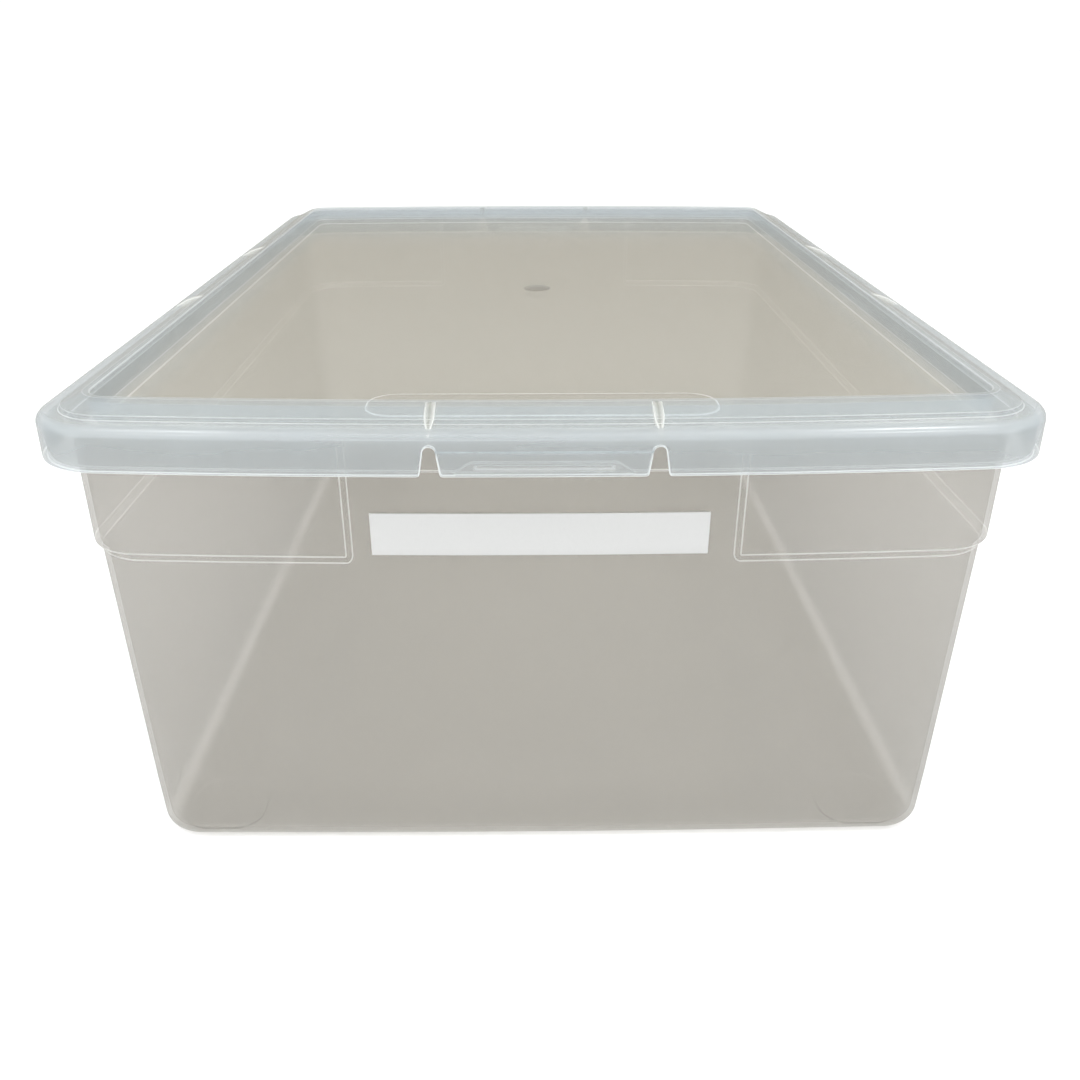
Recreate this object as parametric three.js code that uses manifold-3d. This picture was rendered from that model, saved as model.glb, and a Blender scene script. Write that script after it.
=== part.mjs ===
// A translucent moulded shoe box: a drafted tub, a press-on lid with four flexing latch tabs, and a
// paper label strip. Millimetres, +Z up, X across the width, Y along the length, the labelled end
// at -Y. The origin is the centre of the footprint, level with the undersides of the feet.

import * as THREE from 'three';
import { mergeVertices } from 'three/addons/utils/BufferGeometryUtils.js';
import Module from 'manifold-3d';

const wasm = await Module();
wasm.setup();

// Driving dimensions. An inset is measured inwards from the outer face of the lid's skirt.
const LID_WIDTH = 268;
const LID_LENGTH = 372;
const OVERALL_HEIGHT = 144.5;
const LID_CORNER_RADIUS = 21;
const WALL = 1.5;
const FIT_GAP = 0.3;
const CORNER_STEPS = 6;

// The short ends are crowned: their outline falls back towards the corners by this much at the full
// half width, less at the base than at the rim.
const BASE_BOW = 1.5;
const RIM_BOW = 6;

// Lid section, as drops below the crest of the stacking ridge.
const SKIRT_HEIGHT = 12;
const OUTER_FLAT_DROP = 3.9;
const OUTER_ROUND = 3.6;
const PANEL_DROP = 8.2;
const RIDGE_INSET = 5.9;
const RIDGE_RISE = 1.2;
const RIDGE_LEAN = 0.6;
const RIDGE_TOP_INSET = 9.2;
const RIDGE_TOP_DROP = 1.5;
const CREST_START = 12.4;
const CREST_END = 14.2;
const WELL_BREAK_INSET = 15.1;
const WELL_BREAK_RISE = 2.2;
const PANEL_INSET = 16.4;
const PANEL_EDGE = 2;
const SMALLEST_CORNER = 4;

// Latches: one on each side of the lid, each between two bell-shaped notches in the skirt.
const END_NOTCH_HALF_SPACING = 28.9;
const SIDE_NOTCH_HALF_SPACING = 49;
const NOTCH_HEIGHT = 7.9;
const NOTCH_FOOT_HALF = 2.6;
const NOTCH_TOP_HALF = 1.6;
const HINGE_HEIGHT = 6.5;
const BEAD_HALF_LENGTH = 18;
const BEAD_REACH = 1;
const BEAD_BOTTOM = 1.3;
const BEAD_TOP = 2.7;
const LIP_BEAD_HALF_LENGTH = 23;
const LIP_BEAD_REACH = 0.35;
const LIP_BEAD_TOP = 0.8;
const GUSSET_HALF_WIDTH = 1.35;
const GUSSET_TIP_INSET = 0.6;
const GUSSET_TIP_DROP = 1.8;
const GUSSET_BROW_RISE = 0.5;
const GUSSET_CREST_DROP = 0.05;

// Raised plate and gate dimple on the lid's panel.
const PLATE_WIDTH = 98;
const PLATE_DEPTH = 19.5;
const PLATE_RISE = 0.4;
const PLATE_CORNER = 8;
const PLATE_BACK_INSET = 44;
const DIMPLE_RADIUS = 5.3;
const DIMPLE_DEPTH = 0.5;

// Tub section.
const FOOT_HEIGHT = 1;
const FOOT_LENGTH = 25;
const FOOT_SIDE_INSET = 18.5;
const FOOT_END_INSET = 18.6;
const FOOT_CORNER = 8;
const BASE_INSET = 12.4;
const BASE_ROUND = 5;
const SHOULDER_HEIGHT = 100;
const LOWER_WALL_INSET = 8.9;
const BAND_INSET = 7.6;
const SHOULDER_RISE = 2.4;
const RIM_WALL_INSET = 6.9;
const RIM_THICKNESS = 1.3;
const LIP_INSET = 1.9;
const LIP_LENGTH = 9.6;
const LIP_ROUND = 2;
const RIM_CORNER_RADIUS = 18;
const BASE_CORNER_RADIUS = 14;

// The end panels are flush with the lower wall across the middle of the upper band.
const END_PANEL_HALF = 51.5;
const END_PANEL_CHAMFER = 1.6;
const END_PANEL_DEPTH = 1.3;
const END_PANEL_TOP_DROP = 3;
const END_PANEL_TOP_INSET = 7;
const CROWN_STATION = 82;
const THUMB_HALF = 18;
const THUMB_RAMP = 5;
const THUMB_RAISE = 2.4;

const LABEL_WIDTH = 90.5;
const LABEL_HEIGHT = 12.3;
const LABEL_THICKNESS = 0.3;
const LABEL_CENTRE_X = -1;
const LABEL_CENTRE_Z = 108.8;

// Derived heights.
const crestZ = OVERALL_HEIGHT;
const outerFlatZ = crestZ - OUTER_FLAT_DROP;
const panelZ = crestZ - PANEL_DROP;
const skirtBottomZ = outerFlatZ - SKIRT_HEIGHT;
const rimTopZ = outerFlatZ - WALL - FIT_GAP;
const lipBottomZ = rimTopZ - LIP_LENGTH;
const panelTopZ = rimTopZ - RIM_THICKNESS - END_PANEL_TOP_DROP;

// The tub's upright corners open out from the base to the rim.
const tubRadius = (z) =>
  BASE_CORNER_RADIUS + ((RIM_CORNER_RADIUS - BASE_CORNER_RADIUS) * z) / rimTopZ;

// Places along a side where the outline changes: the thumb recess, the end panel's edges, and on
// the ends one more place each way for the crown.
const mirrored = (distances) => [...distances.map((d) => -d).reverse(), ...distances];
const THUMB_EDGES = [THUMB_HALF, THUMB_HALF + THUMB_RAMP];
const SIDE_STATIONS = mirrored(THUMB_EDGES);
const END_STATIONS = mirrored([
  ...THUMB_EDGES,
  END_PANEL_HALF,
  END_PANEL_HALF + END_PANEL_CHAMFER,
  CROWN_STATION,
]);

// Side 0 faces -Y and the others follow counter-clockwise. A point on a side is given by its
// distance along the side, its distance out from the centre and its height.
function onSide(side, along, out, z) {
  const angle = (side * Math.PI) / 2;
  const cos = Math.round(Math.cos(angle));
  const sin = Math.round(Math.sin(angle));
  return new THREE.Vector3(along * cos + out * sin, along * sin - out * cos, z);
}

const isEnd = (side) => side % 2 === 0;
const halfOut = (side) => (isEnd(side) ? LID_LENGTH : LID_WIDTH) / 2;
const halfAlong = (side) => (isEnd(side) ? LID_WIDTH : LID_LENGTH) / 2;

// How far an end falls back at its full half width, at a height.
const bowAt = (z) => BASE_BOW + ((RIM_BOW - BASE_BOW) * z) / OVERALL_HEIGHT;

function crown(side, along, z) {
  return isEnd(side) ? bowAt(z) * (along / halfAlong(side)) ** 2 : 0;
}

// The corner arc meets the crowned end smoothly: its centre, as distances from the box's centre,
// and the angle that the end leans back where they meet.
function cornerArc(inset, z, radius) {
  const x = LID_WIDTH / 2 - inset - radius;
  const lean = Math.atan((2 * bowAt(z) * x) / (LID_WIDTH / 2) ** 2);
  const meetX = x + radius * Math.sin(lean);
  const meetY = LID_LENGTH / 2 - inset - crown(0, meetX, z);
  return { x, y: meetY - radius * Math.cos(lean), lean };
}

// One closed outline of the box at a level: a rounded rectangle with crowned ends, set in at the
// end panels by panelDepth and raised at the thumb recesses by thumbRaise.
function outline({ inset, z, radius, panelDepth = 0, thumbRaise = 0 }) {
  const cornerRadius = radius ?? Math.max(LID_CORNER_RADIUS - inset, SMALLEST_CORNER);
  const arc = cornerArc(inset, z, cornerRadius);
  const points = [];
  for (let side = 0; side < 4; side += 1) {
    for (const along of isEnd(side) ? END_STATIONS : SIDE_STATIONS) {
      const inPanel = isEnd(side) && Math.abs(along) <= END_PANEL_HALF;
      const inThumb = Math.abs(along) <= THUMB_HALF;
      const setIn = inset + crown(side, along, z) + (inPanel ? panelDepth : 0);
      points.push(onSide(side, along, halfOut(side) - setIn, z + (inThumb ? thumbRaise : 0)));
    }
    const centreAlong = isEnd(side) ? arc.x : arc.y;
    const centreOut = isEnd(side) ? arc.y : arc.x;
    const start = isEnd(side) ? arc.lean : 0;
    const end = isEnd(side) ? Math.PI / 2 : Math.PI / 2 - arc.lean;
    for (let step = 0; step <= CORNER_STEPS; step += 1) {
      const turn = start + ((end - start) * step) / CORNER_STEPS;
      const along = centreAlong + cornerRadius * Math.sin(turn);
      points.push(onSide(side, along, centreOut + cornerRadius * Math.cos(turn), z));
    }
  }
  return points;
}

// A closed skin through a list of levels, capped by a fan at its first and its last outline.
function loft(levels) {
  const outlines = levels.map(outline);
  const count = outlines[0].length;
  const triangles = [];
  const first = outlines[0];
  const last = outlines[outlines.length - 1];
  const firstCentre = new THREE.Vector3(0, 0, first[0].z);
  const lastCentre = new THREE.Vector3(0, 0, last[0].z);
  for (let i = 0; i < count; i += 1) {
    const next = (i + 1) % count;
    triangles.push(firstCentre, first[next], first[i]);
    triangles.push(lastCentre, last[i], last[next]);
    for (let level = 1; level < outlines.length; level += 1) {
      const below = outlines[level - 1];
      const above = outlines[level];
      triangles.push(below[i], below[next], above[next]);
      triangles.push(below[i], above[next], above[i]);
    }
  }
  return solidOf(new THREE.BufferGeometry().setFromPoints(triangles));
}

// A closed solid for joining and cutting, from a geometry with its shared vertices merged.
function solidOf(geometry) {
  const plain = geometry.clone();
  plain.deleteAttribute('normal');
  plain.deleteAttribute('uv');
  const merged = mergeVertices(plain, 1e-4);
  const mesh = new wasm.Mesh({
    numProp: 3,
    vertProperties: new Float32Array(merged.attributes.position.array),
    triVerts: new Uint32Array(merged.index.array),
  });
  return new wasm.Manifold(mesh);
}

function geometryOf(solid) {
  const mesh = solid.getMesh();
  const geometry = new THREE.BufferGeometry();
  geometry.setAttribute('position', new THREE.BufferAttribute(mesh.vertProperties, 3));
  geometry.setIndex(new THREE.BufferAttribute(mesh.triVerts, 1));
  geometry.computeVertexNormals();
  return geometry;
}

// A quarter round in a section, from startTurn to endTurn, where turn 0 points outwards from the
// box and a quarter turn points up.
function roundLevels(centreInset, centreZ, radius, startTurn, endTurn, steps) {
  const levels = [];
  for (let step = 0; step <= steps; step += 1) {
    const turn = startTurn + ((endTurn - startTurn) * step) / steps;
    const inset = centreInset - radius * Math.cos(turn);
    levels.push({ inset, z: centreZ + radius * Math.sin(turn) });
  }
  return levels;
}

// The inner side of a section: each stretch moves by the wall thickness to its right, and
// neighbouring stretches are cut where they meet.
function offsetSection(section, distance) {
  const lines = section.slice(1).map((end, i) => {
    const start = new THREE.Vector2(section[i].inset, section[i].z);
    const along = new THREE.Vector2(end.inset, end.z).sub(start).normalize();
    const shift = new THREE.Vector2(along.y, -along.x).multiplyScalar(distance);
    return { start: start.add(shift), along };
  });
  const corners = lines.slice(1).map((line, i) => {
    const before = lines[i];
    const between = line.start.clone().sub(before.start);
    const travel = between.cross(line.along) / before.along.cross(line.along);
    const corner = before.start.clone().addScaledVector(before.along, travel);
    return { inset: corner.x, z: corner.y };
  });
  const mouth = { inset: lines[0].start.x, z: section[0].z };
  return [mouth, ...corners];
}

// A prism standing on a side: its outline lies along the side and up, and it runs from one
// distance out to another.
function prismOnSide(side, along, outline2d, outFrom, outTo) {
  const geometry = new THREE.ExtrudeGeometry(outline2d, {
    depth: outTo - outFrom,
    bevelEnabled: false,
    curveSegments: 8,
  });
  geometry.rotateX(Math.PI / 2);
  geometry.translate(along, -outFrom, 0);
  geometry.rotateZ((side * Math.PI) / 2);
  return solidOf(geometry);
}

function rectangle(left, right, bottom, top) {
  return new THREE.Shape([
    new THREE.Vector2(left, bottom),
    new THREE.Vector2(right, bottom),
    new THREE.Vector2(right, top),
    new THREE.Vector2(left, top),
  ]);
}

function roundedRectangle(width, depth, radius) {
  const x = width / 2 - radius;
  const y = depth / 2 - radius;
  const quarter = Math.PI / 2;
  const shape = new THREE.Shape();
  shape.absarc(x, y, radius, 0, quarter);
  shape.absarc(-x, y, radius, quarter, 2 * quarter);
  shape.absarc(-x, -y, radius, 2 * quarter, 3 * quarter);
  shape.absarc(x, -y, radius, 3 * quarter, 4 * quarter);
  return shape;
}

// A bell-shaped notch, open at the skirt's bottom edge and round at its top.
function notchShape() {
  const below = skirtBottomZ - 1;
  const springZ = skirtBottomZ + NOTCH_HEIGHT - NOTCH_TOP_HALF;
  const shape = new THREE.Shape();
  shape.moveTo(-NOTCH_FOOT_HALF, below);
  shape.lineTo(NOTCH_FOOT_HALF, below);
  shape.lineTo(NOTCH_FOOT_HALF, skirtBottomZ);
  shape.lineTo(NOTCH_TOP_HALF, springZ);
  shape.absarc(0, springZ, NOTCH_TOP_HALF, 0, Math.PI);
  shape.lineTo(-NOTCH_FOOT_HALF, skirtBottomZ);
  return shape;
}

// A buttress above a notch: full width across the ridge, then narrowing to a point on the lid's
// outer rounding. It is the overlap of its side view and its plan.
function gusset(side, along) {
  const out = halfOut(side);
  const buried = WALL / 2;
  const tip = new THREE.Vector2(out - GUSSET_TIP_INSET, outerFlatZ - GUSSET_TIP_DROP);
  const foot = new THREE.Vector2(out - OUTER_ROUND, outerFlatZ - buried);
  const heel = new THREE.Vector2(out - RIDGE_INSET - RIDGE_LEAN / 2, outerFlatZ - buried);
  const inner = new THREE.Vector2(out - CREST_START, crestZ - buried);
  const crest = new THREE.Vector2(out - CREST_START, crestZ - GUSSET_CREST_DROP);
  const browZ = outerFlatZ + RIDGE_RISE + GUSSET_BROW_RISE;
  const brow = new THREE.Vector2(out - RIDGE_INSET, browZ);
  const sideView = new THREE.Shape([inner, heel, foot, tip, brow, crest]);
  const width = 2 * GUSSET_HALF_WIDTH;
  const ribGeometry = new THREE.ExtrudeGeometry(sideView, { depth: width, bevelEnabled: false });
  ribGeometry.rotateX(Math.PI / 2);
  ribGeometry.rotateZ(-Math.PI / 2);
  ribGeometry.translate(along + GUSSET_HALF_WIDTH, 0, 0);
  const rib = solidOf(ribGeometry.rotateZ((side * Math.PI) / 2));

  const plan = new THREE.Shape([
    new THREE.Vector2(along, GUSSET_TIP_INSET - out),
    new THREE.Vector2(along + GUSSET_HALF_WIDTH, RIDGE_INSET - out),
    new THREE.Vector2(along + GUSSET_HALF_WIDTH, CREST_START - out),
    new THREE.Vector2(along - GUSSET_HALF_WIDTH, CREST_START - out),
    new THREE.Vector2(along - GUSSET_HALF_WIDTH, RIDGE_INSET - out),
  ]);
  const depth = OVERALL_HEIGHT - panelZ;
  const planGeometry = new THREE.ExtrudeGeometry(plan, { depth, bevelEnabled: false });
  planGeometry.translate(0, 0, panelZ);
  return rib.intersect(solidOf(planGeometry.rotateZ((side * Math.PI) / 2)));
}

const notchSpacing = (side) => (isEnd(side) ? END_NOTCH_HALF_SPACING : SIDE_NOTCH_HALF_SPACING);

function lidSection() {
  const roundZ = outerFlatZ - OUTER_ROUND;
  return [
    { inset: 0, z: skirtBottomZ },
    ...roundLevels(OUTER_ROUND, roundZ, OUTER_ROUND, 0, Math.PI / 2, 5),
    { inset: RIDGE_INSET, z: outerFlatZ },
    { inset: RIDGE_INSET + RIDGE_LEAN, z: outerFlatZ + RIDGE_RISE },
    { inset: RIDGE_TOP_INSET, z: crestZ - RIDGE_TOP_DROP },
    { inset: CREST_START, z: crestZ },
    { inset: CREST_END, z: crestZ },
    { inset: WELL_BREAK_INSET, z: panelZ + WELL_BREAK_RISE },
    { inset: PANEL_INSET, z: panelZ },
    { inset: PANEL_INSET + PANEL_EDGE, z: panelZ },
  ];
}

// The lid before its latches are cut free: skin, buttresses, plate, dimple and notches.
function wholeLid() {
  const outer = lidSection();
  const inner = offsetSection(outer, WALL).reverse();
  let lid = loft([...inner, ...outer.slice(0, -1)]);
  for (let side = 0; side < 4; side += 1) {
    for (const along of [-notchSpacing(side), notchSpacing(side)]) {
      lid = lid.add(gusset(side, along));
      const out = halfOut(side);
      lid = lid.subtract(prismOnSide(side, along, notchShape(), out - 1.5 * WALL, out + WALL));
    }
  }
  const buried = PLATE_RISE;
  const plate = new THREE.ExtrudeGeometry(roundedRectangle(PLATE_WIDTH, PLATE_DEPTH, PLATE_CORNER), {
    depth: PLATE_RISE + buried,
    bevelEnabled: false,
    curveSegments: 6,
  });
  const plateY = PLATE_BACK_INSET - LID_LENGTH / 2 - PLATE_DEPTH / 2;
  lid = lid.add(solidOf(plate.translate(0, plateY, panelZ - buried)));
  const dimple = new THREE.CylinderGeometry(DIMPLE_RADIUS, DIMPLE_RADIUS, 2 * DIMPLE_DEPTH, 24);
  return lid.subtract(solidOf(dimple.rotateX(Math.PI / 2).translate(0, 0, panelZ)));
}

// The stretch of skirt between two notches, up to the height where it flexes.
function latchZone(side, height) {
  const half = notchSpacing(side);
  const zone = rectangle(-half, half, skirtBottomZ - 1, skirtBottomZ + height);
  const out = halfOut(side);
  return prismOnSide(side, 0, zone, out - 1.5 * WALL, out + WALL);
}

// A latch tab: its stretch of skirt, a snap bead that hooks under the tub's raised lip, and a
// thickened bottom edge to pull on.
function latchTab(side, lid) {
  const face = halfOut(side) - WALL;
  const overlap = WALL / 2;
  const bead = rectangle(
    -BEAD_HALF_LENGTH,
    BEAD_HALF_LENGTH,
    skirtBottomZ + BEAD_BOTTOM,
    skirtBottomZ + BEAD_TOP,
  );
  const lipBead = rectangle(
    -LIP_BEAD_HALF_LENGTH,
    LIP_BEAD_HALF_LENGTH,
    skirtBottomZ,
    skirtBottomZ + LIP_BEAD_TOP,
  );
  return lid
    .intersect(latchZone(side, HINGE_HEIGHT - FIT_GAP / 2))
    .add(prismOnSide(side, 0, bead, face - BEAD_REACH, face + overlap))
    .add(prismOnSide(side, 0, lipBead, face - LIP_BEAD_REACH, face + overlap));
}

function tubLevels() {
  const quarter = Math.PI / 2;
  const floorRound = BASE_ROUND - WALL;
  const roundZ = FOOT_HEIGHT + BASE_ROUND;
  const lipRoundInset = LIP_INSET + LIP_ROUND;
  const lipRoundZ = rimTopZ - LIP_ROUND;
  const underRimZ = rimTopZ - RIM_THICKNESS;
  const shoulderTopZ = SHOULDER_HEIGHT + SHOULDER_RISE;
  const panelDepth = END_PANEL_DEPTH;
  const thumbRaise = THUMB_RAISE;
  const lipInner = LIP_INSET + RIM_THICKNESS;
  const outside = [
    { inset: LOWER_WALL_INSET, z: SHOULDER_HEIGHT, radius: tubRadius(SHOULDER_HEIGHT) },
    { inset: BAND_INSET, z: shoulderTopZ, radius: tubRadius(shoulderTopZ), panelDepth },
    { inset: END_PANEL_TOP_INSET, z: panelTopZ, radius: RIM_CORNER_RADIUS, panelDepth },
    { inset: RIM_WALL_INSET, z: underRimZ, radius: RIM_CORNER_RADIUS },
  ];
  const inside = outside.map((level) => ({
    ...level,
    inset: level.inset + WALL,
    radius: level.radius - WALL,
  }));
  inside[inside.length - 1].z = rimTopZ;
  const baseRound = roundLevels(BASE_INSET + BASE_ROUND, roundZ, BASE_ROUND, -quarter, 0, 4);
  const floorInset = BASE_INSET + WALL + floorRound;
  const floor = roundLevels(floorInset, roundZ, floorRound, 0, -quarter, 4);
  const atBase = (level) => ({
    ...level,
    radius: BASE_CORNER_RADIUS - (level.inset - BASE_INSET),
  });
  return [
    ...baseRound.map(atBase),
    ...outside,
    { inset: lipInner, z: underRimZ },
    { inset: lipInner, z: lipBottomZ, thumbRaise },
    { inset: LIP_INSET, z: lipBottomZ, thumbRaise },
    ...roundLevels(lipRoundInset, lipRoundZ, LIP_ROUND, 0, quarter, 3),
    ...inside.reverse(),
    ...floor.map(atBase),
  ];
}

// One foot pad in each corner of the underside, set in so that it drops inside the lid's ridge
// when boxes are stacked.
function tub() {
  let solid = loft(tubLevels());
  const x = LID_WIDTH / 2 - FOOT_SIDE_INSET - FOOT_LENGTH / 2;
  const y = LID_LENGTH / 2 - FOOT_END_INSET - FOOT_LENGTH / 2;
  for (const [signX, signY] of [[-1, -1], [1, -1], [1, 1], [-1, 1]]) {
    const pad = new THREE.ExtrudeGeometry(
      roundedRectangle(FOOT_LENGTH, FOOT_LENGTH, FOOT_CORNER),
      { depth: FOOT_HEIGHT + WALL / 2, bevelEnabled: false, curveSegments: 5 },
    );
    solid = solid.add(solidOf(pad.translate(signX * x, signY * y, 0)));
  }
  return solid;
}

// The label leans with the end panel, which is drafted like the wall below it.
function labelGeometry() {
  const bandHeight = panelTopZ - SHOULDER_HEIGHT - SHOULDER_RISE;
  const lean = (BAND_INSET - END_PANEL_TOP_INSET) / bandHeight;
  const wallY = BAND_INSET + END_PANEL_DEPTH - LID_LENGTH / 2;
  const rise = LABEL_CENTRE_Z - SHOULDER_HEIGHT - SHOULDER_RISE;
  const geometry = new THREE.BoxGeometry(LABEL_WIDTH, LABEL_THICKNESS, LABEL_HEIGHT);
  geometry.rotateX(Math.atan(lean));
  const standOff = FIT_GAP / 2 + LABEL_THICKNESS / 2;
  geometry.translate(LABEL_CENTRE_X, wallY - rise * lean - standOff, LABEL_CENTRE_Z);
  return geometry;
}

const clearPlastic = { color: 0xdfe4e6, roughness: 0.25, metalness: 0 };
const tubMaterial = () => new THREE.MeshStandardMaterial(clearPlastic);
const lidMaterial = () => new THREE.MeshStandardMaterial({ ...clearPlastic, color: 0xe6eaec });
const paperMaterial = () =>
  new THREE.MeshStandardMaterial({ color: 0xf7f6f2, roughness: 0.8, metalness: 0 });

function namedMesh(name, geometry, material) {
  const mesh = new THREE.Mesh(geometry, material);
  mesh.name = name;
  return mesh;
}

const shoeBox = new THREE.Group();
shoeBox.add(namedMesh('box_body', geometryOf(tub()), tubMaterial()));

const closedLid = wholeLid();
let freedLid = closedLid;
const TAB_NAMES = ['front_latch_tab', 'right_latch_tab', 'rear_latch_tab', 'left_latch_tab'];
TAB_NAMES.forEach((name, side) => {
  freedLid = freedLid.subtract(latchZone(side, HINGE_HEIGHT + FIT_GAP / 2));
  shoeBox.add(namedMesh(name, geometryOf(latchTab(side, closedLid)), lidMaterial()));
});
shoeBox.add(namedMesh('lid', geometryOf(freedLid), lidMaterial()));
shoeBox.add(namedMesh('label_strip', labelGeometry(), paperMaterial()));

export default shoeBox;
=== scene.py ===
"""Looks for the clear moulded shoe box: finer shells for the tub, the lid, its four latch tabs and
the label, milky plastic and paper materials, a pale floor, soft light and the camera.
"""

import math

import bmesh
import bpy
from mathutils import Matrix, Vector
from mathutils.geometry import delaunay_2d_cdt


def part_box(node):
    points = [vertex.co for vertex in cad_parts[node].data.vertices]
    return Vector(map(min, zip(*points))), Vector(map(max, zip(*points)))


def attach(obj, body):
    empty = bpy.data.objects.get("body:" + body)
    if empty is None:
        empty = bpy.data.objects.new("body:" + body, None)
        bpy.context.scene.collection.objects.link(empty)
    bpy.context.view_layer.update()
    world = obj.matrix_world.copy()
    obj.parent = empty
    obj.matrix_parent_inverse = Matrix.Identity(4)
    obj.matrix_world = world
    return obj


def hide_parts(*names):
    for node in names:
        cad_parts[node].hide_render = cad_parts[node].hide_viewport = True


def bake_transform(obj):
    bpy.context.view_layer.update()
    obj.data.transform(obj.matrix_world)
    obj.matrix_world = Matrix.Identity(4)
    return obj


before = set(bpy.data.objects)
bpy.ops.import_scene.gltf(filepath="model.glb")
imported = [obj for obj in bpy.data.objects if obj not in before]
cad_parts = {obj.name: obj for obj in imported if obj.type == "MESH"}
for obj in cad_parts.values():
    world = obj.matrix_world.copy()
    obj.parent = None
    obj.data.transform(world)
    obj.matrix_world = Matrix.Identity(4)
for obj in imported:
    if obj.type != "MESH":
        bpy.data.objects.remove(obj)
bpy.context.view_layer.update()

MM = 0.001

# Vertices closer than this many millimetres are one.
WELD = 1e-4


def box_mm(node):
    low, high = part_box(node)
    return low / MM, high / MM


# Places taken from the CAD nodes.
LID_LOW, LID_HIGH = box_mm("lid")
TUB_HIGH = box_mm("box_body")[1]
TAB_HIGH = box_mm("front_latch_tab")[1]
LABEL_LOW, LABEL_HIGH = box_mm("label_strip")
HALF_WIDTH = LID_HIGH.x
HALF_LENGTH = LID_HIGH.y
CREST_Z = LID_HIGH.z
SKIRT_BOTTOM_Z = LID_LOW.z
RIM_TOP_Z = TUB_HIGH.z
HINGE_GAP = 0.3
HINGE_Z = TAB_HIGH.z + HINGE_GAP / 2
HINGE_HEIGHT = HINGE_Z - SKIRT_BOTTOM_Z

# Shared wall thickness and the crown of the short ends.
WALL = 1.5
BASE_BOW = 1.5
RIM_BOW = 6.0
EDGE_ROUND = 0.42

# How far fixed columns reach along an end and along a long side, before the corners, and the gap
# from the notch to the next column.
END_STRAIGHT = 82.0
SIDE_STRAIGHT = 132.0
NEXT_COLUMN = 0.8

# Lid section.
LID_CORNER_RADIUS = 21.0
SMALLEST_CORNER = 4.0
OUTER_FLAT_Z = CREST_Z - 3.9
OUTER_ROUND = 3.6
SKIRT_TOP_Z = OUTER_FLAT_Z - OUTER_ROUND
SKIRT_HEIGHT = SKIRT_TOP_Z - SKIRT_BOTTOM_Z
SKIRT_SHARES = (0.3, 0.6, 0.85)
PANEL_Z = CREST_Z - 8.2
NOTCH_HALF_SPACING = (28.9, 49.0)
NOTCH_HEIGHT = 7.9
NOTCH_FOOT_HALF = 2.6
NOTCH_TOP_HALF = 1.6
NOTCH_FOOT_ROUND = 0.9
NOTCH_SPRING = NOTCH_HEIGHT - NOTCH_TOP_HALF
PLATE_SIZE = (98, 19.5)
PLATE_CORNER = 8
PLATE_HEIGHT = 0.4
PLATE_LIP = 0.9
# Painted highlight on the plate's lip.
PLATE_LIGHT = 1.5
PLATE_BACK_INSET = 44.0
DIMPLE_SIZE = (10.6, 10.6)
DIMPLE_CORNER = 5.25
DIMPLE_DEPTH = 0.5
DIMPLE_LIP = 1.2
# Painted shade on the sunk gate mark's lip and floor.
DIMPLE_LIP_SHADE = -0.8
DIMPLE_SHADE = -0.75
# Share of the painted edge highlights that the lid's inner face gets.
INNER_EDGE_SHARE = 0.4

# The milky look's weight on the skirt, and how much it grows towards the skirt's top.
SKIRT_MILK = 1.6
SKIRT_MILK_RISE = 0.6

# Buttresses, in plan stations from the crest outwards: inset, half width, top and bottom height.
GUSSET_HALF_WIDTH = 1.35
GUSSET_ROUND = 0.3
GUSSET_STATIONS = (
    (12.3, GUSSET_HALF_WIDTH, CREST_Z - 0.08, CREST_Z - 0.9),
    (9.2, GUSSET_HALF_WIDTH, CREST_Z - 0.75, CREST_Z - 2.2),
    (6.4, GUSSET_HALF_WIDTH, OUTER_FLAT_Z + 2.2, OUTER_FLAT_Z - 0.4),
    (5.4, GUSSET_HALF_WIDTH - 0.1, OUTER_FLAT_Z + 1.6, OUTER_FLAT_Z - 0.5),
    (3.0, 0.75, OUTER_FLAT_Z + 0.35, OUTER_FLAT_Z - 0.6),
    (0.75, 0.1, OUTER_FLAT_Z - 1.6, OUTER_FLAT_Z - 2.1),
)

# The tab's snap bead and thick pull edge: half length, reach, fade at the ends and heights.
SNAP_HALF = 18.0
SNAP_REACH = 1.0
SNAP_FADE = 1.2
SNAP_START = (1.3, 1.7)
SNAP_STOP = (2.3, 2.7)
PULL_HALF = 23.0
PULL_REACH = 0.35
PULL_FADE = 0.6
PULL_STOP = (0.8, 1.0)
# Weight of the painted highlight on the beads.
BEAD_LIGHT = 0.5
TAB_INNER_ROWS = 28

# Tub section.
SHOULDER_Z = 100.0
SHOULDER_RISE = 2.4
END_PANEL_HALF = 51.5
END_PANEL_CHAMFER = 1.6
END_PANEL_DEPTH = 1.3
UNDER_RIM_Z = RIM_TOP_Z - 1.3
PANEL_TOP_Z = UNDER_RIM_Z - 3.0
LIP_BOTTOM_Z = RIM_TOP_Z - 9.6
LIP_INSET = 1.9
LIP_INNER = 3.2
RIM_WALL_INSET = 6.9
BASE_INSET = 12.4
BASE_ROUND = 5.0
LOWER_WALL_INSET = 8.9
BAND_INSET = 7.6
BASE_Z = 1.0
THUMB_HALF = 18.0
THUMB_RAMP = 5.0
THUMB_RAISE = 2.4
BASE_CORNER_RADIUS = 14.0
RIM_CORNER_RADIUS = 18.0
CHAMFER_START = END_PANEL_HALF - 0.4
CHAMFER_STOP = END_PANEL_HALF + 3.8
LOWER_WALL_HEIGHTS = (20, 40, 60, 80, 95)
BAND_HEIGHTS = (110, 118, 126)
FOOT_SIZE = (25, 25)
FOOT_SIDE_INSET = 18.5
FOOT_END_INSET = 18.6
FOOT_CORNER = 8
FOOT_LIP = 0.5
# Painted highlights on the feet's edges and along the base round.
FOOT_LIGHT = 0.15
BASE_ROUND_LIGHT = 0.13

# The label's two faces, as distances out from the wall it follows.
LABEL_FRONT = 0.32
LABEL_BACK = 0.06


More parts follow.
